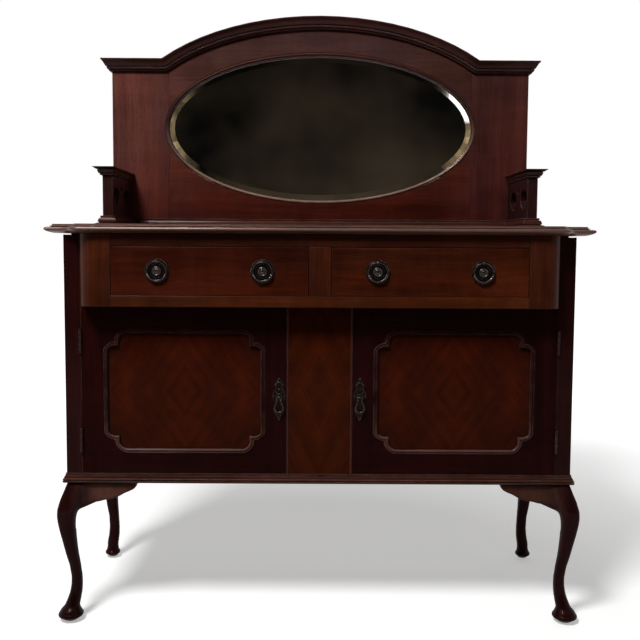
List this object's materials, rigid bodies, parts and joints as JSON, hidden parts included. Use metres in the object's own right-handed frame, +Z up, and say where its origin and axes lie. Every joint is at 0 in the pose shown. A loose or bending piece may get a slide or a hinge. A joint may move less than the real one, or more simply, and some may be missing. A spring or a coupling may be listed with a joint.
{
  "type": "sideboard",
  "caption": "Wooden sideboard with drawers over panelled cupboard doors, on cabriole legs, with an arched back that holds an oval bevelled mirror between pierced brackets.",
  "frame": {"origin": "on the floor, under the middle of the overall width and depth", "axes": "+Z up, the doors and drawers face -Y, +X to the right as seen from the front"},
  "size_m": [1.372, 0.52, 1.6368],
  "materials": {
    "front_wood": "very dark red-brown polish",
    "panel_wood": "polished brown veneer",
    "gallery_wood": "dark red-brown polish",
    "inside_wood": "bare wood",
    "mirror": "silvered glass",
    "bronze": "dark worn bronze",
    "brass": "dull brass"
  },
  "bodies": {
    "case": {"top_board": "front_wood", "side_left": "front_wood", "side_right": "front_wood", "bottom_board": "inside_wood", "back_board": "inside_wood", "centre_panel": "panel_wood", "centre_partition": "inside_wood", "dust_board": "inside_wood", "drawer_bottom_rail": "front_wood", "drawer_top_rail": "front_wood", "drawer_divider": "front_wood", "drawer_end_left": "front_wood", "drawer_end_right": "front_wood", "base_moulding": "front_wood", "leg_front_left": "front_wood", "leg_front_right": "front_wood", "leg_rear_left": "front_wood", "leg_rear_right": "front_wood", "gallery_stile_left": "gallery_wood", "gallery_stile_right": "gallery_wood", "gallery_top_rail": "gallery_wood", "gallery_bottom_rail": "gallery_wood", "mirror_bead": "gallery_wood", "mirror_glass": "mirror", "mirror_backboard": "inside_wood", "cornice": "gallery_wood", "bracket_left": "gallery_wood", "bracket_right": "gallery_wood", "bracket_cap_left": "gallery_wood", "bracket_cap_right": "gallery_wood", "plinth_moulding": "gallery_wood", "hinge_left_low_case": "brass", "hinge_left_high_case": "brass", "hinge_right_low_case": "brass", "hinge_right_high_case": "brass"},
    "drawer_left": {"drawer_left_front": "panel_wood", "drawer_left_box": "inside_wood", "pull_plate_1": "bronze", "pull_plate_2": "bronze"},
    "drawer_right": {"drawer_right_front": "panel_wood", "drawer_right_box": "inside_wood", "pull_plate_3": "bronze", "pull_plate_4": "bronze"},
    "ring_1": {"pull_ring_1": "bronze"},
    "ring_2": {"pull_ring_2": "bronze"},
    "ring_3": {"pull_ring_3": "bronze"},
    "ring_4": {"pull_ring_4": "bronze"},
    "door_left": {"door_left_frame": "front_wood", "door_left_panel": "panel_wood", "door_left_plate": "bronze", "hinge_left_low_door": "brass", "hinge_left_high_door": "brass"},
    "door_right": {"door_right_frame": "front_wood", "door_right_panel": "panel_wood", "door_right_plate": "bronze", "hinge_right_low_door": "brass", "hinge_right_high_door": "brass"},
    "drop_left": {"door_left_drop": "bronze"},
    "drop_right": {"door_right_drop": "bronze"}
  },
  "joints": [
    {"name": "drawer_left_slide", "type": "slide", "parent": "case", "child": "drawer_left", "axis": [0, -1, 0], "range_m": [0, 0.3]},
    {"name": "drawer_right_slide", "type": "slide", "parent": "case", "child": "drawer_right", "axis": [0, -1, 0], "range_m": [0, 0.3]},
    {"name": "door_left_hinge", "type": "hinge", "parent": "case", "child": "door_left", "pos_m": [-0.6035, -0.1893, 0.6015], "axis": [0, 0, -1], "range_deg": [0, 110]},
    {"name": "door_right_hinge", "type": "hinge", "parent": "case", "child": "door_right", "pos_m": [0.6035, -0.1893, 0.6015], "axis": [0, 0, 1], "range_deg": [0, 110]},
    {"name": "ring_1_swing", "type": "hinge", "parent": "drawer_left", "child": "ring_1", "pos_m": [-0.399, -0.2467, 0.929], "axis": [-1, 0, 0], "range_deg": [0, 90]},
    {"name": "ring_2_swing", "type": "hinge", "parent": "drawer_left", "child": "ring_2", "pos_m": [-0.141, -0.2467, 0.929], "axis": [-1, 0, 0], "range_deg": [0, 90]},
    {"name": "ring_3_swing", "type": "hinge", "parent": "drawer_right", "child": "ring_3", "pos_m": [0.141, -0.2467, 0.929], "axis": [-1, 0, 0], "range_deg": [0, 90]},
    {"name": "ring_4_swing", "type": "hinge", "parent": "drawer_right", "child": "ring_4", "pos_m": [0.399, -0.2467, 0.929], "axis": [-1, 0, 0], "range_deg": [0, 90]},
    {"name": "drop_left_swing", "type": "hinge", "parent": "door_left", "child": "drop_left", "pos_m": [-0.1025, -0.1931, 0.5865], "axis": [-1, 0, 0], "range_deg": [0, 90]},
    {"name": "drop_right_swing", "type": "hinge", "parent": "door_right", "child": "drop_right", "pos_m": [0.1025, -0.1931, 0.5865], "axis": [-1, 0, 0], "range_deg": [0, 90]}
  ]
}
